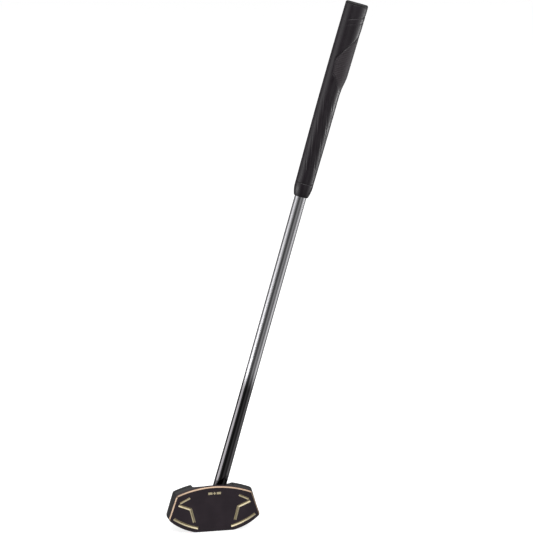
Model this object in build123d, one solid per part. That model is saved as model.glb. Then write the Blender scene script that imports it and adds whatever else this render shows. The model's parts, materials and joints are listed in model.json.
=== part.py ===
from build123d import *
from math import cos, pi, radians, sin, sqrt
import os

# A rigid lawn-golf mallet club.  Millimetres, +Z up.  The origin is the middle of the sole, on
# the ground.  The striking face looks towards -Y and the shaft leans towards +X, the heel.

# ---- Club ----
total_length = 800.0        # along the shaft's axis, from the ground to the top of the grip
shaft_lean = 15.83          # degrees from upright
axis_foot_x = -3.1          # where the shaft's axis would meet the ground
glue_gap = 0.05             # all round a glued or pushed-in round fit

# ---- Head outline, seen from the front ----
head_depth = 68.0           # the shaft's axis lies in the middle of it
stand_off = 0.5             # the wood and the face stay this far above the ground
sole_half = 28.0            # half width of the flat underside
flank_x = 46.3              # a point of the arc from the underside to the widest corner
flank_z = 6.6
widest_half = 68.3
widest_z = 22.0
shoulder_half = 56.2
shoulder_z = 57.6
crown_z = 69.0
widest_round = 4.5          # corner radii on the face
shoulder_round = 4.0

# ---- Head body behind the face ----
crest_back = 21.0           # from the face to the fullest section
crest_out = 0.7             # the body's sides and crown stand this far outside the face's outline
crest_up = 0.7
crest_shoulder_out = 1.6    # and its shoulders this much further out
waist_back = 46.0           # from the face to the section where the body narrows
waist_in = 7.0              # and this far inside it here
waist_down = 7.5
waist_rounder = 3.0         # added to the corner radii
tail_in = 17.0              # the same at the rear
tail_down = 16.0
tail_rounder = 7.0
tail_round = 7.0            # round the rear face's edge
valley_half = 20.0          # flat floor of the hollow across the top, which the shaft enters
valley_sink = 7.8           # the floor's depth under the face's crown
valley_lip_x = 30.0         # where its sides meet the top
valley_lip_sink = 2.4
valley_fall = 12.0          # degrees, down towards the rear
valley_corner = 5.0
valley_soft = 1.2           # round on the edges where the hollow meets the top

# ---- Face plate, trim and inlays ----
plate_thick = 8.0
plate_edge = 0.8            # chamfer on the plate's lower front edge and its back edge
trim_width = 1.9
trim_depth = 3.0
trim_chamfer = 1.5
trim_end_z = 21.0           # the trim runs over the top, from this height to this height
groove_wall = 0.45          # thickness of the gold lining in a V groove
groove_slope = 0.72         # depth of a V groove over its half width
upper_bar_width = 3.3
upper_bar_ends = ((19.7, 3.5), (5.0, 10.8))             # in and down from the shoulder corner
chevron_width = 4.2
chevron_corners = ((2.8, 13.7), (20.6, 21.1), (25.8, 41.6))  # the same: outer end, bend, foot
lower_bar_width = 4.1
lower_bar_points = ((7.6, 1.6), (4.7, 6.2), (3.4, 6.5))  # in and up from widest, flank, sole
badge_sink = 10.1           # its middle's depth under the crown
badge_height = 4.4          # of the lozenge
badge_bar_height = 3.4
badge_bar_length = 6.2
badge_gap = 1.0
badge_depth = 1.0
badge_proud = 0.25
peg_radius = 3.0
peg_from_corner = 20.0      # inwards from the widest corner, and 7 above it
peg_above_corner = 7.0
peg_in_plate = 4.0
peg_in_body = 9.0

# ---- Sole ----
sole_side_margin = 3.0      # underside left at each end of the sole plate
sole_end_margin = 14.0      # and in front of it and behind it
sole_plate_thick = 2.5
sole_corner = 6.0
screw_inset = 5.5           # from the plate's edges
screw_length = 14.0
screw_radius = 1.7
screw_head_radius = 3.5
screw_head_height = 1.9
screw_sunk = 0.3            # the head lies this far inside the plate
screw_slot = 0.9
weight_length = 28.0
weight_width = 16.0
weight_height = 6.0
weight_gap = 0.2

# ---- Shaft, in distances along its axis from the ground ----
shaft_radius = 8.75
shaft_wall = 1.0
shaft_flare = 0.85          # added to the radius at the head end
bore_floor = 5.5            # wood between the weight and the end of the shaft's bore
flare_start = 70.0          # full tip radius up to here
flare_end = 184.0           # straight tube from here on
shaft_end_gap = 14.0        # from the tube's top end to the top of the grip
tip_plug_length = 16.0
pin_radius = 2.0
pin_above_plug = 12.0
pin_reach = 15.0            # past the shaft's axis, towards the rear
butt_plug_length = 22.0
butt_flange = 2.0

# ---- Grip ----
grip_length = 290.5
collar_length = 20.5
collar_mouth_wall = 1.2
collar_belly = 1.0          # how far its taper bulges
collar_seam = 0.6           # width and depth of the groove between the collar and the sleeve
tape_thick = 0.35
tape_margin = 6.0           # bare shaft between the tape and the grip's ends
grip_wall = 4.3             # rubber over the tape at both ends
grip_belly = 0.95            # added halfway up
palm_swell = 4.4            # added on the heel side
palm_below = 136.0          # from the grip's top: where the swell starts
palm_full = 103.0           # and where it is full
palm_rise = 2.3             # added from there to the top
grip_sections = 22
cap_thick = 4.0
cap_round = 3.0
cap_spigot_length = 7.0

# ---- Worked out from the sizes above ----
face_y = -head_depth / 2
tail_y = head_depth / 2
plate_back_y = face_y + plate_thick
crest_y = face_y + crest_back
waist_y = face_y + waist_back
lean = radians(shaft_lean)
valley_z = crown_z - valley_sink
valley_lip_z = crown_z - valley_lip_sink
upper_bar = [(shoulder_half - across, shoulder_z - down) for across, down in upper_bar_ends]
chevron = [(shoulder_half - across, shoulder_z - down) for across, down in chevron_corners]
lower_bar = [
    (corner_x - across, corner_z + up)
    for (corner_x, corner_z), (across, up) in zip(
        ((widest_half, widest_z), (flank_x, flank_z), (sole_half, stand_off)), lower_bar_points
    )
]
badge_z = crown_z - badge_sink
peg_x = widest_half - peg_from_corner
peg_z = widest_z + peg_above_corner
sole_length = 2 * (sole_half - sole_side_margin)
sole_width = head_depth - 2 * sole_end_margin
screw_x = sole_length / 2 - screw_inset
screw_y = sole_width / 2 - screw_inset
shaft_tip_radius = shaft_radius + shaft_flare
shaft_tip = sole_plate_thick + weight_height + bore_floor
pin_s = shaft_tip + tip_plug_length + pin_above_plug
shaft_top = total_length - shaft_end_gap
grip_mouth = total_length - grip_length
sleeve_start = grip_mouth + collar_length
sleeve_end = total_length - cap_thick
tape_radius = shaft_radius + glue_gap + tape_thick
bore_radius = tape_radius + glue_gap
grip_end_radius = bore_radius + grip_wall

# Local X is across the shaft towards the heel, local Y is the row's Y, local Z runs up the shaft.
shaft_plane = Plane(
    origin=(axis_foot_x, 0, 0),
    x_dir=(cos(lean), 0, -sin(lean)),
    z_dir=(sin(lean), 0, cos(lean)),
)


def facing(y):
    """Plane parallel to the face at y: local X is the row's X, local Y its Z, normal to -Y."""
    return Plane.XZ.offset(-y)


def on_shaft(shape):
    """Moves a shape from the shaft's own axes into the row frame."""
    return shaft_plane.location * shape


def rod(radius, low, high):
    """Round bar on the shaft's axis between two distances from the ground."""
    return Pos(0, 0, low) * Cylinder(radius, high - low, align=(Align.CENTER, Align.CENTER, Align.MIN))


def turned(points):
    """Solid of revolution about the shaft's axis from (radius, distance) corners."""
    return revolve(make_face(Plane.XZ * Polyline(*points, close=True)), Axis.Z)


def both_sides(shape):
    """A shape and its mirror image about the head's middle."""
    return [shape, mirror(shape, about=Plane.YZ)]


# ---- Head ----
def head_outline(out=0.0, up=0.0, rounder=0.0, shoulder_out=0.0):
    """Outline of the head seen from the front, moved out at the sides and up at the crown."""
    foot = (sole_half + out / 2, stand_off)
    widest = (widest_half + out, widest_z)
    shoulder = (shoulder_half + out + shoulder_out, shoulder_z + up)
    flank = (flank_x + out * 0.75, flank_z)
    mirrored = [(-x, z) for x, z in (foot, flank, widest, shoulder)]
    edges = [
        Line(mirrored[0], foot),
        ThreePointArc(foot, flank, widest),
        Line(widest, shoulder),
        ThreePointArc(shoulder, (0, crown_z + up), mirrored[3]),
        Line(mirrored[3], mirrored[2]),
        ThreePointArc(mirrored[2], mirrored[1], mirrored[0]),
    ]
    face = make_face(edges)
    corners = face.vertices()
    face = fillet([v for v in corners if abs(v.Y - widest_z) < 0.01], widest_round + rounder)
    corners = face.vertices()
    return fillet([v for v in corners if abs(v.Y - shoulder_z - up) < 0.01], shoulder_round + rounder)


def valley():
    """The hollow across the top of the body: a flat floor with two rising sides."""
    over = crown_z + head_depth
    sides = [
        (-valley_half, valley_z),
        (valley_half, valley_z),
        (valley_lip_x, valley_lip_z),
        (valley_lip_x + 4, over),
        (-valley_lip_x - 4, over),
        (-valley_lip_x, valley_lip_z),
    ]
    outline = make_face(Polyline(*sides, close=True))
    floor_corners = [v for v in outline.vertices() if abs(v.Y - valley_z) < 0.01]
    profile = facing(plate_back_y) * fillet(floor_corners, valley_corner)
    fall = radians(valley_fall)
    return extrude(profile, amount=head_depth * 1.5, dir=(0, cos(fall), -sin(fall)))


def make_head_body():
    sections = [
        facing(plate_back_y) * head_outline(),
        facing(crest_y) * head_outline(crest_out, crest_up, shoulder_out=crest_shoulder_out),
        facing(waist_y) * head_outline(-waist_in, -waist_down, waist_rounder),
        facing(tail_y) * head_outline(-tail_in, -tail_down, tail_rounder),
    ]
    body = loft(sections)
    body = fillet(body.faces().sort_by(Axis.Y)[-1].edges(), tail_round)
    hollowed = body - valley()
    body = fillet(new_edges(body, combined=hollowed), valley_soft)
    body -= on_shaft(rod(shaft_tip_radius + glue_gap, shaft_tip - glue_gap, total_length))
    body -= pin_at(plate_back_y, glue_gap)
    body -= pegs(glue_gap)
    body -= sole_blank(glue_gap, stand_off - 1)
    body -= weight_blank(weight_gap)
    for spot in screw_spots():
        body -= spot * rod(screw_radius + glue_gap, 0, screw_length + glue_gap)
    return body


def v_section(width, lining=0.0):
    """V profile across a groove: the whole V, or only its lining where a thickness is given."""
    half = width / 2
    depth = half * groove_slope
    corners = [(-half, 0), (0, depth), (half, 0)]
    if lining:
        inner = half - lining
        corners += [(inner, 0), (0, inner * groove_slope), (-inner, 0)]
    return corners


def groove(points, width, lining=0.0, curved=False):
    """V groove, or its gold lining, along a line of points on the face."""
    spots = [(x, face_y, z) for x, z in points]
    path = ThreePointArc(*spots) if curved else Polyline(*spots)
    start = path @ 0
    along = path % 0
    across = Vector(0, 1, 0).cross(along).normalized()
    section_plane = Plane(origin=start, x_dir=across, z_dir=across.cross(Vector(0, 1, 0)))
    profile = section_plane * make_face(Polyline(*v_section(width, lining), close=True))
    return sweep(profile, path, transition=Transition.RIGHT)


def upper_bar_part(lining=0.0):
    return groove(upper_bar, upper_bar_width, lining)


def chevron_part(lining=0.0):
    return groove(chevron, chevron_width, lining)


def lower_bar_part(lining=0.0):
    return groove(lower_bar, lower_bar_width, lining, curved=True)


def badge_shapes():
    """Plain badge outline: a lozenge between two bars."""
    offset_x = badge_height / 2 + badge_gap + badge_bar_length / 2
    bar = Rectangle(badge_bar_length, badge_bar_height)
    side = badge_height / sqrt(2)
    lozenge = Rot(0, 0, 45) * Rectangle(side, side)
    return [Pos(0, badge_z) * lozenge, Pos(-offset_x, badge_z) * bar, Pos(offset_x, badge_z) * bar]


def badge(proud):
    back = facing(face_y + badge_depth)
    return [extrude(back * shape, amount=badge_depth + proud) for shape in badge_shapes()]


def trim_band():
    """Gold band round the front edge, down both sides to trim_end_z."""
    outline = head_outline()
    front = facing(face_y)
    blank = extrude(front * outline, amount=-trim_depth)
    blank = chamfer(blank.faces().sort_by(Axis.Y)[0].edges(), trim_chamfer)
    blank -= extrude(front * offset(outline, -trim_width), amount=-trim_depth * 2, both=True)
    keep = Pos(0, face_y, trim_end_z) * Box(
        widest_half * 3, trim_depth * 3, crown_z, align=(Align.CENTER, Align.CENTER, Align.MIN)
    )
    return blank & keep


def trim_rebate():
    """The step in the plate's edge that the trim band lies in."""
    outline = head_outline()
    front = facing(face_y)
    step = extrude(front * offset(outline, 3), amount=-trim_depth)
    step -= extrude(front * offset(outline, -trim_width), amount=-trim_depth)
    keep = Pos(0, face_y, trim_end_z) * Box(
        widest_half * 3, trim_depth * 3, crown_z * 2, align=(Align.CENTER, Align.CENTER, Align.MIN)
    )
    return step & keep


def make_face_plate():
    plate = extrude(facing(face_y) * head_outline(), amount=-plate_thick)
    plate = chamfer(plate.faces().sort_by(Axis.Y)[0].edges(), plate_edge)
    plate -= trim_rebate()
    for shape in (upper_bar_part(), chevron_part(), lower_bar_part()):
        for side in both_sides(shape):
            plate -= side
    for shape in badge(0):
        plate -= shape
    return plate - pegs(glue_gap)


def pegs(gap):
    """The two dowels that place the plate on the body, or their holes."""
    peg = Pos(peg_x, plate_back_y - peg_in_plate - gap, peg_z) * Rot(-90, 0, 0) * Cylinder(
        peg_radius + gap,
        peg_in_plate + peg_in_body + 2 * gap,
        align=(Align.CENTER, Align.CENTER, Align.MIN),
    )
    return both_sides(peg)


# ---- Sole ----
def sole_blank(gap=0.0, low=0.0):
    block = Box(
        sole_length + 2 * gap,
        sole_width + 2 * gap,
        sole_plate_thick - low,
        align=(Align.CENTER, Align.CENTER, Align.MIN),
    )
    return Pos(0, 0, low) * fillet(block.edges().filter_by(Axis.Z), sole_corner + gap)


def weight_blank(gap=0.0):
    size = (weight_length + 2 * gap, weight_width + 2 * gap, weight_height + gap)
    return Pos(0, 0, sole_plate_thick) * Box(*size, align=(Align.CENTER, Align.CENTER, Align.MIN))


def screw_spots():
    return [Pos(x, y, 0) for x in (-screw_x, screw_x) for y in (-screw_y, screw_y)]


def screw_shape():
    """Countersunk wood screw, head down."""
    corners = [
        (0, screw_sunk),
        (screw_head_radius, screw_sunk),
        (screw_radius, screw_sunk + screw_head_height),
        (screw_radius, screw_length - screw_radius),
        (0, screw_length),
    ]
    return turned(corners)


def screw_hole():
    """The hole for a screw through the plate, open at its underside."""
    head = screw_head_radius + glue_gap
    shank = screw_radius + glue_gap
    corners = [
        (0, 0),
        (head, 0),
        (head, screw_sunk),
        (shank, screw_sunk + screw_head_height),
        (shank, screw_length),
        (0, screw_length),
    ]
    return turned(corners)


def make_sole_screws():
    arm = screw_head_radius * 1.1
    slot = Box(arm, screw_slot, 2, align=(Align.CENTER, Align.CENTER, Align.CENTER))
    cross = Pos(0, 0, screw_sunk) * (slot + Rot(0, 0, 90) * slot)
    screw = screw_shape() - cross
    return [spot * screw for spot in screw_spots()]


def make_sole_plate():
    plate = sole_blank()
    for spot in screw_spots():
        plate -= spot * screw_hole()
    return plate


# ---- Shaft ----
def make_shaft():
    outer = [(shaft_tip_radius, shaft_tip), (shaft_tip_radius, flare_start),
             (shaft_radius, flare_end), (shaft_radius, shaft_top)]
    inner = [(radius - shaft_wall, s) for radius, s in reversed(outer)]
    return on_shaft(turned(outer + inner)) - pin_at(plate_back_y, glue_gap)


def make_tip_plug():
    radius = shaft_tip_radius - shaft_wall - glue_gap
    return on_shaft(rod(radius, shaft_tip, shaft_tip + tip_plug_length))


def pin_at(front_y, gap=0.0):
    """The cross pin from front_y to behind the shaft, or its hole."""
    centre = shaft_plane.from_local_coords((0, 0, pin_s))
    length = pin_reach - front_y + gap
    return Pos(centre.X, front_y, centre.Z) * Rot(-90, 0, 0) * Cylinder(
        pin_radius + gap, length, align=(Align.CENTER, Align.CENTER, Align.MIN)
    )


def make_pin():
    return pin_at(plate_back_y + 1)


def make_butt_plug():
    stem = rod(shaft_radius - shaft_wall - glue_gap, shaft_top - butt_plug_length, shaft_top)
    return on_shaft(stem + rod(shaft_radius, shaft_top, shaft_top + butt_flange))


# ---- Grip ----
def make_tape():
    low, high = grip_mouth + tape_margin, shaft_top - tape_margin
    return on_shaft(rod(tape_radius, low, high) - rod(shaft_radius + glue_gap, low, high))


def grip_section(s):
    """Egg-shaped section: half an ellipse on the toe side, a fuller one on the heel side."""
    toe, heel, side = grip_radii(s)
    toe_half = EllipticalCenterArc((0, 0), toe, side, 90, arc_size=180)
    heel_half = EllipticalCenterArc((0, 0), heel, side, 270, arc_size=180)
    return Pos(0, 0, s) * make_face([toe_half, heel_half])


def eased(share):
    """Smooth step from 0 to 1."""
    share = min(max(share, 0.0), 1.0)
    return share * share * (3 - 2 * share)


def grip_radii(s):
    """The grip's radius towards the toe, towards the heel, and front and rear, at a distance."""
    from_top = total_length - s
    upward = (s - sleeve_start) / (total_length - sleeve_start)
    belly = grip_belly * sin(pi * upward)
    heel = palm_swell * eased((palm_below - from_top) / (palm_below - palm_full))
    heel += palm_rise * max(1 - from_top / palm_full, 0)
    toe = grip_end_radius + belly
    return toe, toe + heel, toe + 0.01


def grip_body():
    """The grip's outer shape: sections from the collar to the cap, with a swell for the palm."""
    step = (total_length - sleeve_start) / (grip_sections - 1)
    heights = [sleeve_start + step * turn for turn in range(grip_sections)]
    return loft([grip_section(s) for s in heights])


def grip_slice(low, high):
    block = Pos(0, 0, low) * Box(80, 80, high - low, align=(Align.CENTER, Align.CENTER, Align.MIN))
    return grip_body() & block


def make_grip_sleeve():
    return on_shaft(grip_slice(sleeve_start, sleeve_end) - rod(bore_radius, grip_mouth, total_length))


def make_grip_collar():
    """The tapered mouth: a bulging cone that ends in a narrow seam groove under the sleeve."""
    mouth = bore_radius + collar_mouth_wall
    seam_low = sleeve_start - collar_seam
    middle = ((mouth + grip_end_radius) / 2 + collar_belly, (grip_mouth + seam_low) / 2)
    edges = [
        ThreePointArc((mouth, grip_mouth), middle, (grip_end_radius, seam_low)),
        Polyline(
            (grip_end_radius, seam_low),
            (grip_end_radius - collar_seam, seam_low),
            (grip_end_radius - collar_seam, sleeve_start),
            (bore_radius, sleeve_start),
            (bore_radius, grip_mouth),
            (mouth, grip_mouth),
        ),
    ]
    return on_shaft(revolve(Plane.XZ * make_face(edges), Axis.Z))


def make_grip_cap():
    cap = grip_slice(sleeve_end, total_length)
    cap = fillet(cap.faces().sort_by(Axis.Z)[-1].edges(), cap_round)
    return on_shaft(cap + rod(bore_radius - glue_gap, sleeve_end - cap_spigot_length, sleeve_end))


nodes = {
    "head_body": make_head_body(),
    "face_plate": make_face_plate(),
    "face_trim_band": trim_band(),
    "face_locating_pegs": pegs(0.0),
    "face_badge": badge(badge_proud),
    "sole_plate": make_sole_plate(),
    "sole_screws": make_sole_screws(),
    "sole_weight": weight_blank(),
    "shaft_tube": make_shaft(),
    "shaft_tip_plug": make_tip_plug(),
    "shaft_cross_pin": make_pin(),
    "shaft_butt_plug": make_butt_plug(),
    "grip_tape": make_tape(),
    "grip_sleeve": make_grip_sleeve(),
    "grip_collar": make_grip_collar(),
    "grip_end_cap": make_grip_cap(),
}
inlays = {"upper_inlay": upper_bar_part, "chevron_inlay": chevron_part, "lower_inlay": lower_bar_part}
for name, make in inlays.items():
    for end, shape in zip(("heel", "toe"), both_sides(make(groove_wall))):
        nodes[f"{name}_{end}"] = shape

os.makedirs("parts", exist_ok=True)
for name, shape in nodes.items():
    solids = shape if isinstance(shape, list) else [shape]
    export_step(Compound(children=solids) if len(solids) > 1 else solids[0], f"parts/{name}.step")
    print(f"{name}: {sum(solid.volume for solid in solids) / 1000:.2f} cm3")
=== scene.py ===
import json
import math

import bpy
import numpy as np
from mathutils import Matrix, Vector


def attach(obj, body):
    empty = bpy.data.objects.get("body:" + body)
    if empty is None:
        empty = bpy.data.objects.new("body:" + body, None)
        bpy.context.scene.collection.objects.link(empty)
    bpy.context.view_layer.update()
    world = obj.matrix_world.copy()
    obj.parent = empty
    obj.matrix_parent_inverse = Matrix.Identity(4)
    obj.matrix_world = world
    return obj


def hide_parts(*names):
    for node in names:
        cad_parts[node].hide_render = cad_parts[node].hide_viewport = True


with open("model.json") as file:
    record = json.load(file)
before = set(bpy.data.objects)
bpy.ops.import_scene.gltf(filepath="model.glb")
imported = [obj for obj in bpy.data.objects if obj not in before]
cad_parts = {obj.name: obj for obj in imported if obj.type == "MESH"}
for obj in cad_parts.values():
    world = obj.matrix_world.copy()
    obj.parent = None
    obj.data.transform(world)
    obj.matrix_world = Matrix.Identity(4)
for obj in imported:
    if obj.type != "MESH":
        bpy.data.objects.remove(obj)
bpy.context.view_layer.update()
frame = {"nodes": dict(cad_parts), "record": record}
print("frame loaded:", len(frame["nodes"]), "nodes")

mm = 0.001

# the club's own axes: distances run up the shaft from the ground, sideways is towards the heel
club = {
    "leanDegrees": 15.83,
    "axisFootX": -3.1,
    "length": 800.0,
}
lean = math.radians(club["leanDegrees"])
shaftUp = np.array([math.sin(lean), 0.0, math.cos(lean)])
shaftAcross = np.array([math.cos(lean), 0.0, -math.sin(lean)])
shaftFoot = np.array([club["axisFootX"] * mm, 0.0, 0.0])


# smooth step from 0 to 1 as x goes from low to high
def eased(x, low, high):
    t = np.clip((x - low) / (high - low), 0.0, 1.0)
    return t * t * (3 - 2 * t)


# distance up the shaft, and angle round it with 0 at the heel and 90 at the front, to metres
def onShaft(distance, angle, toHeel, toFront):
    across = toHeel * np.cos(angle)
    front = toFront * np.sin(angle)
    points = shaftFoot + (distance * mm)[..., None] * shaftUp + (across * mm)[..., None] * shaftAcross
    points[..., 1] -= front * mm
    return points


# a grid of points, rows up the piece and columns round it, becomes a mesh that is closed all round;
# joined links the last row to the first, as in a tube with a wall, and a closed end gets one middle
# point and a fan of triangles
def skinPiece(name, grid, joined=False, closedLow=False, closedHigh=False):
    rows, columns = grid.shape[:2]
    index = np.arange(rows * columns).reshape(rows, columns)
    if joined:
        index = np.vstack([index, index[:1]])
    after = np.roll(index, -1, axis=1)
    quads = np.stack([index[:-1], index[1:], after[1:], after[:-1]], axis=-1).reshape(-1, 4)
    points = grid.reshape(-1, 3)
    fans = []
    if closedLow:
        fans.append(np.stack([after[0], np.full(columns, len(points)), index[0]], axis=-1))
        points = np.vstack([points, grid[0].mean(axis=0)])
    if closedHigh:
        fans.append(np.stack([index[-1], np.full(columns, len(points)), after[-1]], axis=-1))
        points = np.vstack([points, grid[-1].mean(axis=0)])
    mesh = bpy.data.meshes.new(name)
    mesh.from_pydata(points.tolist(), [], quads.tolist() + [f for fan in fans for f in fan.tolist()])
    mesh.polygons.foreach_set("use_smooth", np.ones(len(mesh.polygons), dtype=bool))
    mesh.update()
    piece = bpy.data.objects.new(name, mesh)
    bpy.context.collection.objects.link(piece)
    return piece


# sRGB hex to the linear values that shaders take
def hexColour(code):
    channels = [int(code[i:i + 2], 16) / 255 for i in (1, 3, 5)]
    linear = [c / 12.92 if c <= 0.04045 else ((c + 0.055) / 1.055) ** 2.4 for c in channels]
    return (*linear, 1.0)


# adds one node: settings are its attributes, inputs go by socket name or by position;
# an output of another node is linked, anything else is set
def addNode(tree, kind, settings=None, inputs=None):
    node = tree.nodes.new(kind)
    for name, value in (settings or {}).items():
        setattr(node, name, value)
    for key, value in (inputs or {}).items():
        socket = node.inputs[key]
        if isinstance(value, bpy.types.NodeSocket):
            tree.links.new(value, socket)
        else:
            socket.default_value = value
    return node


# a new material with its shader and its place on the object, in metres
def newMaterial(name, **values):
    material = bpy.data.materials.new(name)
    material.use_nodes = True
    tree = material.node_tree
    shader = next(n for n in tree.nodes if n.type == "BSDF_PRINCIPLED")
    for key, value in values.items():
        shader.inputs[key.replace("_", " ")].default_value = value
    place = addNode(tree, "ShaderNodeTexCoord").outputs["Object"]
    return material, tree, shader, place


# links node outputs to a shader's sockets, which are named with _ for a space
def feed(tree, shader, **outputs):
    for key, output in outputs.items():
        tree.links.new(output, shader.inputs[key.replace("_", " ")])


# how many times a pattern of this real size fits in a metre, which is what a texture's Scale wants
def perMetre(sizeInMm):
    return 1.0 / (sizeInMm * mm)


# turns a place on the object into the shaft's own axes, with Z up the shaft, still in metres
def alongShaft(tree, place):
    moved = addNode(tree, "ShaderNodeVectorMath", {"operation": "SUBTRACT"},
                    {0: place, 1: tuple(shaftFoot)}).outputs[0]
    return addNode(tree, "ShaderNodeVectorRotate", {"rotation_type": "Y_AXIS"},
                   {"Vector": moved, "Angle": -lean}).outputs[0]


# satin nickel plate on an aluminium tube: soft-edged bright bands and very fine drawn lines along
# the tube; a sprayed smoked-black lacquer covers the lower part, and its edge fades in fine specks
def shaftFinish():
    look = {"nickel": "#d6d5d8", "drawnShade": "#c9c8cc", "smoke": "#413e41", "smokeRough": 0.06,
            "fadeLow": 212.0, "fadeHigh": 246.0, "speck": 0.5, "speckReach": 9.0,
            "drawnLine": 0.5, "drawnLength": 60.0, "satinLow": 0.2, "satinHigh": 0.26}
    material, tree, shader, place = newMaterial(
        "satinNickelWithSmokedFade", Metallic=1.0, Coat_Roughness=0.03)
    own = alongShaft(tree, place)
    height = addNode(tree, "ShaderNodeSeparateXYZ", {}, {0: own}).outputs[2]
    specks = addNode(tree, "ShaderNodeTexNoise", {},
                     {"Vector": place, "Scale": perMetre(look["speck"]), "Detail": 3.0}).outputs["Fac"]
    ragged = addNode(tree, "ShaderNodeMath", {"operation": "MULTIPLY_ADD"},
                     {0: specks, 1: look["speckReach"] * mm, 2: height}).outputs[0]
    middle = look["speckReach"] / 2
    bright = addNode(tree, "ShaderNodeMapRange", {"interpolation_type": "SMOOTHSTEP"},
                     {"Value": ragged, "From Min": (look["fadeLow"] + middle) * mm,
                      "From Max": (look["fadeHigh"] + middle) * mm}).outputs[0]
    lines = addNode(tree, "ShaderNodeMapping", {},
                    {"Vector": own, "Scale": (perMetre(look["drawnLine"]), perMetre(look["drawnLine"]),
                                              perMetre(look["drawnLength"]))}).outputs[0]
    drawn = addNode(tree, "ShaderNodeTexNoise", {},
                    {"Vector": lines, "Scale": 1.0, "Detail": 4.0}).outputs["Fac"]
    nickel = addNode(tree, "ShaderNodeMix", {"data_type": "RGBA"},
                     {"Factor": drawn, 6: hexColour(look["drawnShade"]),
                      7: hexColour(look["nickel"])}).outputs[2]
    colour = addNode(tree, "ShaderNodeMix", {"data_type": "RGBA"},
                     {"Factor": bright, 6: hexColour(look["smoke"]), 7: nickel}).outputs[2]
    satin = addNode(tree, "ShaderNodeMapRange", {},
                    {"Value": drawn, "From Min": 0.3, "From Max": 0.7,
                     "To Min": look["satinLow"], "To Max": look["satinHigh"]}).outputs[0]
    rough = addNode(tree, "ShaderNodeMix", {},
                    {"Factor": bright, 2: look["smokeRough"], 3: satin}).outputs[0]
    clear = addNode(tree, "ShaderNodeMath", {"operation": "SUBTRACT", "use_clamp": True},
                    {0: 1.0, 1: bright}).outputs[0]
    bump = addNode(tree, "ShaderNodeBump", {},
                   {"Height": drawn, "Strength": 0.04, "Distance": 0.05 * mm}).outputs[0]
    feed(tree, shader, Base_Color=colour, Roughness=rough, Coat_Weight=clear, Normal=bump)
    return material


# piano lacquer over laminated hardwood: deep black-brown with the wood's pores just showing through,
# mirror-like with the slight waviness that a sprayed and buffed lacquer has
def lacquerFinish():
    look = {"deep": "#0c0a0d", "grain": "#1c171b", "poreLength": 22.0, "poreWidth": 0.9, "wave": 5.0}
    material, tree, shader, place = newMaterial(
        "pianoLacquerOnHardwood", Roughness=0.3, Coat_Weight=1.0, Coat_Roughness=0.035, Coat_IOR=1.52)
    pores = addNode(tree, "ShaderNodeMapping", {},
                    {"Vector": place,
                     "Scale": (perMetre(look["poreLength"]), perMetre(look["poreWidth"]),
                                                perMetre(look["poreWidth"]))}).outputs[0]
    grain = addNode(tree, "ShaderNodeTexNoise", {},
                    {"Vector": pores, "Scale": 1.0, "Detail": 5.0, "Distortion": 0.4}).outputs["Fac"]
    streak = addNode(tree, "ShaderNodeMapRange", {"interpolation_type": "SMOOTHSTEP"},
                     {"Value": grain, "From Min": 0.45, "From Max": 0.7}).outputs[0]
    colour = addNode(tree, "ShaderNodeMix", {"data_type": "RGBA"},
                     {"Factor": streak, 6: hexColour(look["deep"]),
                      7: hexColour(look["grain"])}).outputs[2]
    under = addNode(tree, "ShaderNodeBump", {},
                    {"Height": grain, "Strength": 0.08, "Distance": 0.1 * mm}).outputs[0]
    wavy = addNode(tree, "ShaderNodeTexNoise", {},
                   {"Vector": place, "Scale": perMetre(look["wave"]), "Detail": 1.0}).outputs["Fac"]
    peel = addNode(tree, "ShaderNodeBump", {},
                   {"Height": wavy, "Strength": 0.06, "Distance": 0.2 * mm}).outputs[0]
    feed(tree, shader, Base_Color=colour, Normal=under, Coat_Normal=peel)
    return material


# carbon-black polymer, moulded with a spark-eroded satin grain: dark with a faint purple warmth,
# broad soft highlights, and a few lighter rubbed patches spread at random over it
def faceFinish():
    look = {"body": "#3a3038", "rubbed": "#433840", "grain": 0.7, "patch": 24.0, "dull": 0.5,
            "shiny": 0.4}
    material, tree, shader, place = newMaterial("mouldedCarbonPolymer", Specular_IOR_Level=0.45)
    grain = addNode(tree, "ShaderNodeTexNoise", {},
                    {"Vector": place, "Scale": perMetre(look["grain"]), "Detail": 3.0}).outputs["Fac"]
    patch = addNode(tree, "ShaderNodeTexNoise", {},
                    {"Vector": place, "Scale": perMetre(look["patch"]), "Detail": 3.0}).outputs["Fac"]
    rubbed = addNode(tree, "ShaderNodeMapRange", {"interpolation_type": "SMOOTHSTEP"},
                     {"Value": patch, "From Min": 0.4, "From Max": 0.75}).outputs[0]
    colour = addNode(tree, "ShaderNodeMix", {"data_type": "RGBA"},
                     {"Factor": rubbed, 6: hexColour(look["body"]),
                      7: hexColour(look["rubbed"])}).outputs[2]
    rough = addNode(tree, "ShaderNodeMapRange", {},
                    {"Value": patch, "From Min": 0.3, "From Max": 0.7,
                     "To Min": look["dull"], "To Max": look["shiny"]}).outputs[0]
    bump = addNode(tree, "ShaderNodeBump", {},
                   {"Height": grain, "Strength": 0.16, "Distance": 0.08 * mm}).outputs[0]
    feed(tree, shader, Base_Color=colour, Roughness=rough, Normal=bump)
    return material


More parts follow.
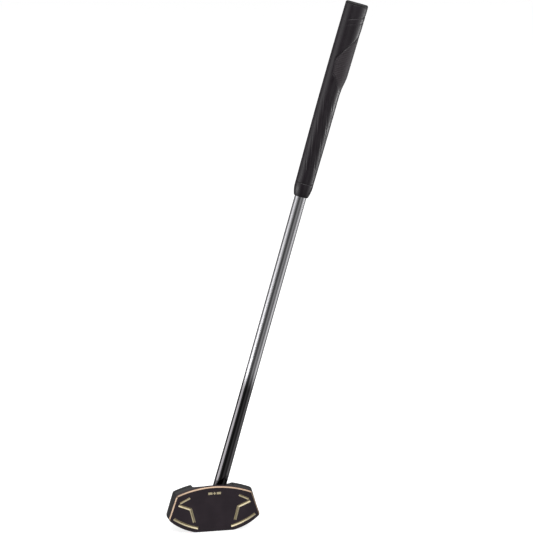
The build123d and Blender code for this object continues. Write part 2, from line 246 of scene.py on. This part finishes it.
# gold plate over a satin-blasted base: warm metal with soft highlights, slightly uneven in tone
def goldFinish(name, pale, deep, roughLow, roughHigh, metal=1.0):
    look = {"grain": 0.5, "tone": 9.0}
    material, tree, shader, place = newMaterial(name, Metallic=metal)
    tone = addNode(tree, "ShaderNodeTexNoise", {},
                   {"Vector": place, "Scale": perMetre(look["tone"]), "Detail": 2.0}).outputs["Fac"]
    colour = addNode(tree, "ShaderNodeMix", {"data_type": "RGBA"},
                     {"Factor": tone, 6: hexColour(deep), 7: hexColour(pale)}).outputs[2]
    grain = addNode(tree, "ShaderNodeTexNoise", {},
                    {"Vector": place, "Scale": perMetre(look["grain"]), "Detail": 2.0}).outputs["Fac"]
    rough = addNode(tree, "ShaderNodeMapRange", {},
                    {"Value": grain, "From Min": 0.3, "From Max": 0.7,
                     "To Min": roughLow, "To Max": roughHigh}).outputs[0]
    bump = addNode(tree, "ShaderNodeBump", {},
                   {"Height": grain, "Strength": 0.07, "Distance": 0.05 * mm}).outputs[0]
    feed(tree, shader, Base_Color=colour, Roughness=rough, Normal=bump)
    return material


# stainless steel brushed from heel to toe: streaky highlights, with scuffs from the turf
def steelFinish():
    look = {"light": "#c4c4c7", "dark": "#9b9a9c", "brushWidth": 0.35, "brushLength": 30.0,
            "scuff": 7.0, "clean": 0.26, "scuffed": 0.5}
    material, tree, shader, place = newMaterial("brushedStainlessSteel", Metallic=1.0)
    brush = addNode(tree, "ShaderNodeMapping", {},
                    {"Vector": place,
                     "Scale": (perMetre(look["brushLength"]), perMetre(look["brushWidth"]),
                                                perMetre(look["brushWidth"]))}).outputs[0]
    lines = addNode(tree, "ShaderNodeTexNoise", {},
                    {"Vector": brush, "Scale": 1.0, "Detail": 4.0}).outputs["Fac"]
    scuffs = addNode(tree, "ShaderNodeTexNoise", {},
                     {"Vector": place, "Scale": perMetre(look["scuff"]), "Detail": 6.0}).outputs["Fac"]
    colour = addNode(tree, "ShaderNodeMix", {"data_type": "RGBA"},
                     {"Factor": lines, 6: hexColour(look["dark"]),
                      7: hexColour(look["light"])}).outputs[2]
    rough = addNode(tree, "ShaderNodeMapRange", {},
                    {"Value": scuffs, "From Min": 0.4, "From Max": 0.7,
                     "To Min": look["clean"], "To Max": look["scuffed"]}).outputs[0]
    bump = addNode(tree, "ShaderNodeBump", {},
                   {"Height": lines, "Strength": 0.15, "Distance": 0.05 * mm}).outputs[0]
    feed(tree, shader, Base_Color=colour, Roughness=rough, Normal=bump)
    return material


# carbon-filled rubber out of a matt mould: near black with a faint purple cast and a silky highlight,
# a fine leather-like grain, a dusty bloom in patches, and a greyer, drier look on the ribbed palm panel
def rubberFinish():
    look = {"body": "#211a21", "bloom": "#2d252d", "panel": "#3a3238", "grain": 0.9, "patch": 18.0,
            "silkyLow": 0.3, "silkyHigh": 0.38, "dry": 0.55}
    material, tree, shader, place = newMaterial("mattMouldedRubber", Specular_IOR_Level=0.7)
    grain = addNode(tree, "ShaderNodeTexVoronoi", {"feature": "SMOOTH_F1"},
                    {"Vector": place, "Scale": perMetre(look["grain"]),
                     "Smoothness": 0.6}).outputs["Distance"]
    patch = addNode(tree, "ShaderNodeTexNoise", {},
                    {"Vector": place, "Scale": perMetre(look["patch"]), "Detail": 4.0}).outputs["Fac"]
    palm = addNode(tree, "ShaderNodeAttribute", {"attribute_name": "palm"}).outputs["Fac"]
    skin = addNode(tree, "ShaderNodeMix", {"data_type": "RGBA"},
                   {"Factor": patch, 6: hexColour(look["body"]),
                    7: hexColour(look["bloom"])}).outputs[2]
    colour = addNode(tree, "ShaderNodeMix", {"data_type": "RGBA"},
                     {"Factor": palm, 6: skin, 7: hexColour(look["panel"])}).outputs[2]
    silky = addNode(tree, "ShaderNodeMapRange", {},
                    {"Value": patch, "From Min": 0.3, "From Max": 0.7,
                     "To Min": look["silkyLow"], "To Max": look["silkyHigh"]}).outputs[0]
    rough = addNode(tree, "ShaderNodeMix", {}, {"Factor": palm, 2: silky, 3: look["dry"]}).outputs[0]
    bump = addNode(tree, "ShaderNodeBump", {},
                   {"Height": grain, "Strength": 0.22, "Distance": 0.12 * mm}).outputs[0]
    feed(tree, shader, Base_Color=colour, Roughness=rough, Normal=bump)
    return material


# hard moulded plastic with a fine eroded texture, used for the cap and for the parts inside
def plasticFinish(name, code, rough):
    look = {"texture": 0.6, "shade": 0.7, "spread": 0.06}
    material, tree, shader, place = newMaterial(name)
    texture = addNode(tree, "ShaderNodeTexNoise", {},
                      {"Vector": place, "Scale": perMetre(look["texture"]),
                       "Detail": 3.0}).outputs["Fac"]
    darker = tuple(look["shade"] * c for c in hexColour(code)[:3]) + (1.0,)
    colour = addNode(tree, "ShaderNodeMix", {"data_type": "RGBA"},
                     {"Factor": texture, 6: darker, 7: hexColour(code)}).outputs[2]
    uneven = addNode(tree, "ShaderNodeMapRange", {},
                     {"Value": texture, "To Min": rough - look["spread"],
                      "To Max": rough + look["spread"]}).outputs[0]
    bump = addNode(tree, "ShaderNodeBump", {},
                   {"Height": texture, "Strength": 0.12, "Distance": 0.08 * mm}).outputs[0]
    feed(tree, shader, Base_Color=colour, Roughness=uneven, Normal=bump)
    return material


# planed beech, with short darker flecks along the dowel
def beechFinish():
    look = {"pale": "#c9a57a", "fleck": "#a47c52", "fleckWidth": 0.5, "fleckLength": 3.0}
    material, tree, shader, place = newMaterial("planedBeech", Roughness=0.6)
    along = addNode(tree, "ShaderNodeMapping", {},
                    {"Vector": place,
                     "Scale": (perMetre(look["fleckWidth"]), perMetre(look["fleckLength"]),
                                                perMetre(look["fleckWidth"]))}).outputs[0]
    flecks = addNode(tree, "ShaderNodeTexNoise", {},
                     {"Vector": along, "Scale": 1.0, "Detail": 3.0}).outputs["Fac"]
    colour = addNode(tree, "ShaderNodeMix", {"data_type": "RGBA"},
                     {"Factor": flecks, 6: hexColour(look["pale"]),
                      7: hexColour(look["fleck"])}).outputs[2]
    feed(tree, shader, Base_Color=colour)
    return material


# woven cotton mounting tape: warps and wefts a millimetre apart
def tapeFinish():
    look = {"thread": 1.0, "pale": "#d8d3c6", "shade": "#a9a294"}
    wavesPerUnit = 20  # what this texture makes of a scale of one
    material, tree, shader, place = newMaterial("wovenCottonTape", Roughness=0.85)
    own = alongShaft(tree, place)
    weave = addNode(tree, "ShaderNodeTexWave", {"bands_direction": "Z"},
                    {"Vector": own, "Scale": perMetre(look["thread"]) / wavesPerUnit,
                     "Distortion": 0.6}).outputs["Fac"]
    colour = addNode(tree, "ShaderNodeMix", {"data_type": "RGBA"},
                     {"Factor": weave, 6: hexColour(look["shade"]),
                      7: hexColour(look["pale"])}).outputs[2]
    bump = addNode(tree, "ShaderNodeBump", {},
                   {"Height": weave, "Strength": 0.3, "Distance": 0.1 * mm}).outputs[0]
    feed(tree, shader, Base_Color=colour, Normal=bump)
    return material


rubber = rubberFinish()
steel = steelFinish()
finishes = {
    "lacquered_wood": lacquerFinish(),
    "face_polymer": faceFinish(),
    "gold_trim": goldFinish("champagneGoldSatin", "#c4ab94", "#a8907b", 0.26, 0.36),
    "gold_inlay": goldFinish("paleGoldSatin", "#ebdfbe", "#d9caa6", 0.26, 0.34),
    "sole_metal": steel,
    "fastener_steel": steel,
    "shaft_metal": shaftFinish(),
    "inner_plastic": plasticFinish("mouldedGreyPlastic", "#6b6b6e", 0.5),
    "peg_wood": beechFinish(),
    "tape": tapeFinish(),
    "grip_rubber": rubber,
    "cap_plastic": plasticFinish("mouldedBlackPlastic", "#232023", 0.42),
}
for part in frame["record"]["subparts"]:
    node = frame["nodes"][part["node"]]
    node.data.materials.clear()
    node.data.materials.append(finishes[part["material_slot"]])
# the badge is gold leaf over a light primer, which scatters light as paint does and stays pale
badge = frame["nodes"]["face_badge"]
badge.data.materials.clear()
badge.data.materials.append(goldFinish("goldLeafOnPrimer", "#fbeec8", "#efdcae", 0.3, 0.4, metal=0.0))


# the grip's rubber, in millimetres: its radii grow from the mouth, and the heel side swells for
# the palm
grip = {
    "length": 290.5,
    "collarLength": 20.5,
    "boreRadius": 9.2,
    "mouthWall": 1.2,
    "wall": 4.3,
    "belly": 0.95,
    "collarBelly": 1.0,
    "palmSwell": 4.4,
    "palmBelow": 136.0,
    "palmFull": 103.0,
    "palmRise": 2.3,
    "capThick": 4.0,
    "capRound": 3.0,
    "seamWidth": 0.6,
    "inset": 0.03,            # the skin lies this far inside the sleeve's true size
    "rows": 440,
    "columns": 200,
    "collarRows": 24,
    "lip": 0.5,               # how much the collar's mouth is rounded
    "topShares": (0.97, 0.85),  # the sleeve's top closes in under the cap in these shares
    "panelTop": 765.0,        # the palm panel's highest point, over the heel side
    "panelTopFall": 0.385,    # mm that its top edge falls per degree towards the toe
    "panelLow": 674.0,
    "panelLowRise": 20.0,     # how much its foot rises between these two angles from the heel side
    "panelLowTurn": (50, 120),
    "panelReach": 122.0,      # degrees from the heel side to its two ends
    "panelReachGrow": 4.0,    # and how many more near its top
    "panelTip": 8.0,          # degrees over which its highest point is rounded
    "panelSink": 0.22,
    "ribPitch": 2.6,
    "ribDepth": 0.35,
    "edgeGroove": 1.3,
    "edgeWidth": 0.85,
    "edgeFaint": 0.3,         # the groove's share of depth away from the top edge
    "archTop": 784.8,         # two finer arches over the panel
    "archFall": 0.092,
    "archGap": 8.0,
    "archDepth": 0.6,
    "archWidth": 0.75,
    "archFade": (60, 150),    # degrees from the heel side where they fade to a fifth
    "wrapCount": 12,          # long steep lines round the lower half
    "wrapDepth": 0.34,
    "wrapWidth": 0.7,
    "wrapTurn": 20.0,         # degrees that the whole set is turned
    "wrapFade": (6, 24, 34, 8),  # mm above the seam and below the panel where they come and go
}
gripMouth = club["length"] - grip["length"]
sleeveStart = gripMouth + grip["collarLength"]
sleeveEnd = club["length"] - grip["capThick"]
gripRadius = grip["boreRadius"] + grip["wall"]


# the grip's radius towards the toe and front, and its radius towards the heel, at a distance:
# a sine belly along the whole sleeve, plus an eased swell on the heel side that rises to the top
def gripRadii(s):
    fromTop = club["length"] - s
    upward = np.clip((s - sleeveStart) / (club["length"] - sleeveStart), 0, 1)
    toe = gripRadius + grip["belly"] * np.sin(np.pi * upward)
    swell = grip["palmSwell"] * eased(-fromTop, -grip["palmBelow"], -grip["palmFull"])
    swell = swell + grip["palmRise"] * np.maximum(1 - fromTop / grip["palmFull"], 0)
    return toe, toe + swell


# how deep the rubber is cut at a distance and an angle, in mm, and how much of it is palm panel;
# fromHeel is the angle either way
def gripRelief(s, angle):
    degrees = np.degrees(angle)
    fromHeel = np.minimum(degrees, 360 - degrees)
    mmPerDegree = np.pi / 180 * gripRadius
    # the palm panel: inside is the least of the distances to its top, its foot and its two ends
    topEdge = grip["panelTop"] - grip["panelTopFall"] * np.hypot(fromHeel, grip["panelTip"])
    slant = 1 / math.hypot(1, grip["panelTopFall"] / mmPerDegree)
    fromFoot = s - grip["panelLow"] - grip["panelLowRise"] * eased(fromHeel, *grip["panelLowTurn"])
    grow = eased(s, grip["panelLow"] + 20, grip["panelTop"] - 48)
    reach = grip["panelReach"] + grip["panelReachGrow"] * grow
    inside = np.minimum((topEdge - s) * slant, fromFoot * 0.85)
    inside = np.minimum(inside, (reach - fromHeel) * mmPerDegree)
    strong = grip["edgeFaint"] + (1 - grip["edgeFaint"]) * eased((s - topEdge) * slant, -4, -1)
    depth = grip["edgeGroove"] * strong * np.exp(-(inside / grip["edgeWidth"]) ** 2)
    ribs = 0.5 + 0.5 * np.cos(2 * np.pi * s / grip["ribPitch"])
    panel = eased(inside, 0.7, 1.6)
    depth = depth + panel * (grip["panelSink"] + grip["ribDepth"] * ribs ** 2)
    # two arches above it, which die out towards the toe
    for turn, share in ((0, 1.0), (1, 0.5)):
        arch = grip["archTop"] - turn * grip["archGap"] - grip["archFall"] * fromHeel
        faint = 1 - 0.8 * eased(fromHeel, *grip["archFade"])
        cut = np.exp(-((s - arch) / grip["archWidth"]) ** 2)
        depth = depth + grip["archDepth"] * share * faint * cut
    # the long steep wrap lines: a line turns one degree for each millimetre up the grip
    spacing = 360 / grip["wrapCount"]
    offLine = (degrees - s - grip["wrapTurn"] + spacing / 2) % spacing - spacing / 2
    begins, full, fades, ends = grip["wrapFade"]
    band = eased(s, sleeveStart + begins, sleeveStart + full)
    band = band * (1 - eased(s, grip["panelLow"] - fades, grip["panelLow"] - ends))
    line = np.exp(-(offLine * mmPerDegree / grip["wrapWidth"]) ** 2)
    depth = depth + grip["wrapDepth"] * band * line
    return depth, panel


# the grip's skin, from the mouth's bore over the collar, the seam and the sleeve to the bore at the top
def makeGripSkin():
    angle = np.linspace(0, 2 * np.pi, grip["columns"], endpoint=False)
    mouth = grip["boreRadius"] + grip["mouthWall"]
    seamLow = sleeveStart - grip["seamWidth"]
    # the collar: a straight cone with a bulge that is greatest halfway
    t = np.linspace(0, 1, grip["collarRows"])
    cone = mouth + (gripRadius - mouth) * t + 4 * grip["collarBelly"] * t * (1 - t)
    lip = grip["lip"] * (1 - eased(t, 0.0, 0.05))
    collar = (gripMouth + (seamLow - gripMouth) * t, cone - lip)
    groove = (np.array([seamLow + 0.1, sleeveStart - 0.1]), np.full(2, gripRadius - grip["seamWidth"]))
    sleeve = np.linspace(sleeveStart, sleeveEnd - 0.3, grip["rows"])
    inner = ([gripMouth + 10, gripMouth + 1.5, gripMouth], [grip["boreRadius"]] * 3)
    outer = np.concatenate([inner[0], collar[0], groove[0], sleeve, [sleeveEnd, sleeveEnd, sleeveEnd]])
    toe, heel = gripRadii(outer)
    below = np.concatenate([inner[1], collar[1], groove[1]])
    toe[:len(below)] = below
    heel[:len(below)] = below
    for row, share in zip((-3, -2), grip["topShares"]):
        toe[row] *= share
        heel[row] *= share
    heel[-1] = toe[-1] = grip["boreRadius"]
    s = np.repeat(outer[:, None], grip["columns"], axis=1)
    round2 = np.repeat(angle[None, :], len(outer), axis=0)
    cut = np.zeros_like(s)
    rows = slice(len(below), len(outer) - 3)
    palm = np.zeros_like(s)
    cut[rows], palm[rows] = gripRelief(s[rows], round2[rows])
    towards = np.where(np.cos(round2) > 0, heel[:, None], toe[:, None])
    toHeel = towards - cut - grip["inset"]
    toFront = toe[:, None] - cut - grip["inset"]
    grid = onShaft(s, round2, toHeel, toFront)
    piece = skinPiece("gripSkin", grid, joined=True)
    shade = piece.data.attributes.new("palm", "FLOAT", "POINT")
    shade.data.foreach_set("value", palm.ravel())
    piece.data.materials.append(rubber)
    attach(piece, "root")
    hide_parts("grip_sleeve", "grip_collar")


# the cap: the grip's own outline, a quarter round at its edge, a shallow ring and a vent hole on top
def makeGripCap():
    cap = {"ringAt": 0.88, "ringWidth": 0.03, "ringDepth": 0.4, "vent": 1.5, "ventRound": 0.3,
           "ventDepth": 2.0, "dish": 0.25, "gap": 0.05, "under": 3.0, "columns": 128}
    angle = np.linspace(0, 2 * np.pi, cap["columns"], endpoint=False)
    top = club["length"]
    turn = np.linspace(0, np.pi / 2, 9)
    side = np.array([0.0, 0.35, 0.7, 1.0]) * (grip["capThick"] - grip["capRound"]) + sleeveEnd
    side[0] += cap["gap"]
    edgeIn = grip["capRound"] * (1 - np.cos(turn[1:]))
    edgeUp = top - grip["inset"] - grip["capRound"] * (1 - np.sin(turn[1:]))
    flat = np.array([0.97, 0.93, 0.905, 0.88, 0.855, 0.83, 0.6, 0.4, 0.22])
    ring = cap["ringDepth"] * np.exp(-((flat - cap["ringAt"]) / cap["ringWidth"]) ** 2)
    flatUp = top - grip["inset"] - ring - cap["dish"] * eased(-flat, -0.8, -0.2)
    rows = []
    underside = [(sleeveEnd + cap["gap"], cap["under"])]
    for s, inwards in underside + [(v, 0.0) for v in side] + list(zip(edgeUp, edgeIn)):
        toe, heel = gripRadii(np.array(s))
        rows.append((s, toe - inwards - grip["inset"], heel - inwards - grip["inset"]))
    toe, heel = gripRadii(np.array(top))
    toe, heel = toe - grip["capRound"], heel - grip["capRound"]
    rows += [(s, share * toe, share * heel) for s, share in zip(flatUp, flat)]
    low = flatUp[-1]
    for down, radius in ((0, cap["vent"] + cap["ventRound"]), (cap["ventRound"], cap["vent"]),
                         (cap["ventDepth"], cap["vent"] * 0.9)):
        rows.append((low - down, radius, radius))
    s, toe, heel = (np.array(v, dtype=float)[:, None] for v in zip(*rows))
    round2 = np.repeat(angle[None, :], len(rows), axis=0)
    towards = np.where(np.cos(round2) > 0, heel, toe)
    across = cap["columns"]
    grid = onShaft(np.repeat(s, across, axis=1), round2, towards, np.repeat(toe, across, axis=1))
    piece = skinPiece("gripCap", grid, closedLow=True, closedHigh=True)
    piece.data.materials.append(finishes["cap_plastic"])
    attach(piece, "root")
    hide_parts("grip_end_cap")


makeGripSkin()
makeGripCap()
print("grip made")


# a very wide seamless table top, pale and slightly polished
def makeFloor():
    look = {"size": 120, "low": "#f4f4f4", "high": "#f8f8f8", "cloud": 40.0, "roughLow": 0.06,
            "roughHigh": 0.09, "glow": 0.8}
    bpy.ops.mesh.primitive_plane_add(size=look["size"])
    floor = bpy.context.object
    floor.name = "floor"
    material, tree, shader, place = newMaterial("polishedPaleTop")
    cloud = addNode(tree, "ShaderNodeTexNoise", {},
                    {"Vector": place, "Scale": perMetre(look["cloud"])}).outputs["Fac"]
    colour = addNode(tree, "ShaderNodeMix", {"data_type": "RGBA"},
                     {"Factor": cloud, 6: hexColour(look["low"]),
                      7: hexColour(look["high"])}).outputs[2]
    rough = addNode(tree, "ShaderNodeMapRange", {},
                    {"Value": cloud, "To Min": look["roughLow"],
                     "To Max": look["roughHigh"]}).outputs[0]
    feed(tree, shader, Base_Color=colour, Roughness=rough)
    shader.inputs["Emission Color"].default_value = (1, 1, 1, 1)
    shader.inputs["Emission Strength"].default_value = look["glow"]
    floor.data.materials.append(material)
    floor.visible_glossy = False
    floor.visible_diffuse = False


makeFloor()


# the studio round the club: how bright each direction is, by its angle from the camera's side,
# with strips of light left and right, a dark gap behind the camera, and a soft ceiling
def makeStudio():
    studio = {
        "cameraSide": -12.0,
        "ceiling": 0.45,
        "ground": 0.12,
        "stripsTop": (0.19, 0.12),
        "stripsFoot": (-0.5, -0.4),
        "pastStrips": 0.6,
        "brightest": 8.0,     # a ramp's colours stop at one, so levels are stored as shares of this
        "background": 1.05,   # what the camera itself sees behind the club
        "stops": [(-180, 0.09), (-140, 0.12), (-115, 0.22), (-100, 0.4), (-96, 0.6), (-94, 1.6),
                  (-76, 1.6), (-73, 0.95), (-62, 0.75), (-50, 0.45), (-36, 0.16), (-22, 0.05),
                  (-10, 0.05), (4, 0.17), (18, 0.38), (34, 0.2), (50, 0.13), (62, 0.35), (78, 0.95),
                  (94, 0.95), (110, 0.28), (135, 0.15), (180, 0.09)],
    }
    world = bpy.data.worlds.new("studio")
    bpy.context.scene.world = world
    world.use_nodes = True
    tree = world.node_tree
    tree.nodes.clear()
    direction = addNode(tree, "ShaderNodeTexCoord").outputs["Generated"]
    split = addNode(tree, "ShaderNodeSeparateXYZ", {}, {0: direction})
    away = addNode(tree, "ShaderNodeMath", {"operation": "MULTIPLY"},
                   {0: split.outputs[1], 1: -1.0}).outputs[0]
    bearing = addNode(tree, "ShaderNodeMath", {"operation": "ARCTAN2"},
                      {0: split.outputs[0], 1: away}).outputs[0]
    turned = addNode(tree, "ShaderNodeMath", {"operation": "SUBTRACT"},
                     {0: bearing, 1: math.radians(studio["cameraSide"])}).outputs[0]
    wrapped = addNode(tree, "ShaderNodeMath", {"operation": "WRAP"},
                      {0: turned, 1: math.pi, 2: -math.pi}).outputs[0]
    share = addNode(tree, "ShaderNodeMapRange", {},
                    {"Value": wrapped, "From Min": -math.pi, "From Max": math.pi}).outputs[0]
    ramp = addNode(tree, "ShaderNodeValToRGB", {}, {"Fac": share})
    stops = ramp.color_ramp.elements
    for degrees, level in studio["stops"][1:-1]:
        stops.new((degrees + 180) / 360)
    for stop, (degrees, level) in zip(stops, studio["stops"]):
        stop.position = (degrees + 180) / 360
        stop.color = (level / studio["brightest"],) * 3 + (1,)
    ring = addNode(tree, "ShaderNodeVectorMath", {"operation": "SCALE"},
                   {0: ramp.outputs["Color"], "Scale": studio["brightest"]}).outputs[0]
    # the strips stand along the shaft and end above and below it, so that the flat glossy sides
    # of the head don't mirror them at a low angle
    alongAxis = addNode(tree, "ShaderNodeVectorMath", {"operation": "DOT_PRODUCT"},
                        {0: direction, 1: tuple(shaftUp)}).outputs["Value"]
    strips = ring
    limits = ((split.outputs[2], studio["stripsTop"]), (alongAxis, studio["stripsFoot"]))
    for height, (beyond, within) in limits:
        limit = addNode(tree, "ShaderNodeMapRange", {"interpolation_type": "SMOOTHSTEP"},
                        {"Value": height, "From Min": beyond, "From Max": within,
                         "To Min": studio["pastStrips"], "To Max": studio["brightest"]}).outputs[0]
        strips = addNode(tree, "ShaderNodeVectorMath", {"operation": "MINIMUM"},
                         {0: strips, 1: limit}).outputs[0]
    up = addNode(tree, "ShaderNodeMapRange", {"interpolation_type": "SMOOTHSTEP"},
                 {"Value": split.outputs[2], "From Min": 0.3, "From Max": 0.75}).outputs[0]
    down = addNode(tree, "ShaderNodeMapRange", {"interpolation_type": "SMOOTHSTEP"},
                   {"Value": split.outputs[2], "From Min": -0.5, "From Max": -0.75}).outputs[0]
    high = addNode(tree, "ShaderNodeMix", {"data_type": "RGBA"},
                   {"Factor": up, 6: strips, 7: (studio["ceiling"],) * 3 + (1,)}).outputs[2]
    low = addNode(tree, "ShaderNodeMix", {"data_type": "RGBA"},
                  {"Factor": down, 6: high, 7: (studio["ground"],) * 3 + (1,)}).outputs[2]
    shaped = addNode(tree, "ShaderNodeBackground", {}, {"Color": low, "Strength": 1.0}).outputs[0]
    plain = addNode(tree, "ShaderNodeBackground", {},
                    {"Color": (1, 1, 1, 1), "Strength": studio["background"]}).outputs[0]
    seen = addNode(tree, "ShaderNodeLightPath").outputs["Is Camera Ray"]
    mixed = addNode(tree, "ShaderNodeMixShader", {}, {0: seen, 1: shaped, 2: plain}).outputs[0]
    addNode(tree, "ShaderNodeOutputWorld", {}, {"Surface": mixed})

    # each soft box: its place and target, width and height, power, and how wide its beam opens;
    # the low ones draw long highlights on the smoked part of the shaft and on the grip
    boxes = {
        "overhead": ((-0.4, -0.3, 3.0), (0, 0, 0.4), (3.0, 3.0), 14.0, 180),
        "heelSide": ((2.2, -0.2, 2.6), (0, 0, 0.4), (1.4, 1.4), 10.0, 180),
        "frontHigh": ((0.4, -1.6, 2.5), (0, 0, 0.4), (2.8, 2.8), 27.0, 180),
        "toeLow": ((-2.7, -0.1, 0.28), (0, 0, 0.4), (2.2, 0.26), 6.0, 180),
        "heelLow": ((1.5, 0.1, 0.2), (0.2, 0, 0.68), (0.6, 0.25), 0.18, 40),
    }
    for name, (spot, target, size, power, beam) in boxes.items():
        light = bpy.data.lights.new(name, "AREA")
        light.shape = "RECTANGLE"
        light.size, light.size_y = size
        light.energy = power
        light.spread = math.radians(beam)
        lamp = bpy.data.objects.new(name, light)
        bpy.context.collection.objects.link(lamp)
        lamp.location = spot
        lamp.visible_camera = False
        lamp.rotation_euler = (Vector(target) - lamp.location).to_track_quat("-Z", "Y").to_euler()


makeStudio()

camera = {"place": (-0.52501, -2.87032, 1.01205), "target": (0.08509, 0.0, 0.38831), "lens": 139.0,
          "sensor": 36}
cameraData = bpy.data.cameras.new("camera")
cameraObject = bpy.data.objects.new("camera", cameraData)
bpy.context.collection.objects.link(cameraObject)
cameraData.sensor_width = camera["sensor"]
cameraData.lens = camera["lens"]
cameraObject.location = camera["place"]
aim = Vector(camera["target"]) - cameraObject.location
cameraObject.rotation_euler = aim.to_track_quat("-Z", "Y").to_euler()
bpy.context.scene.camera = cameraObject
bpy.context.scene.view_settings.view_transform = "Standard"
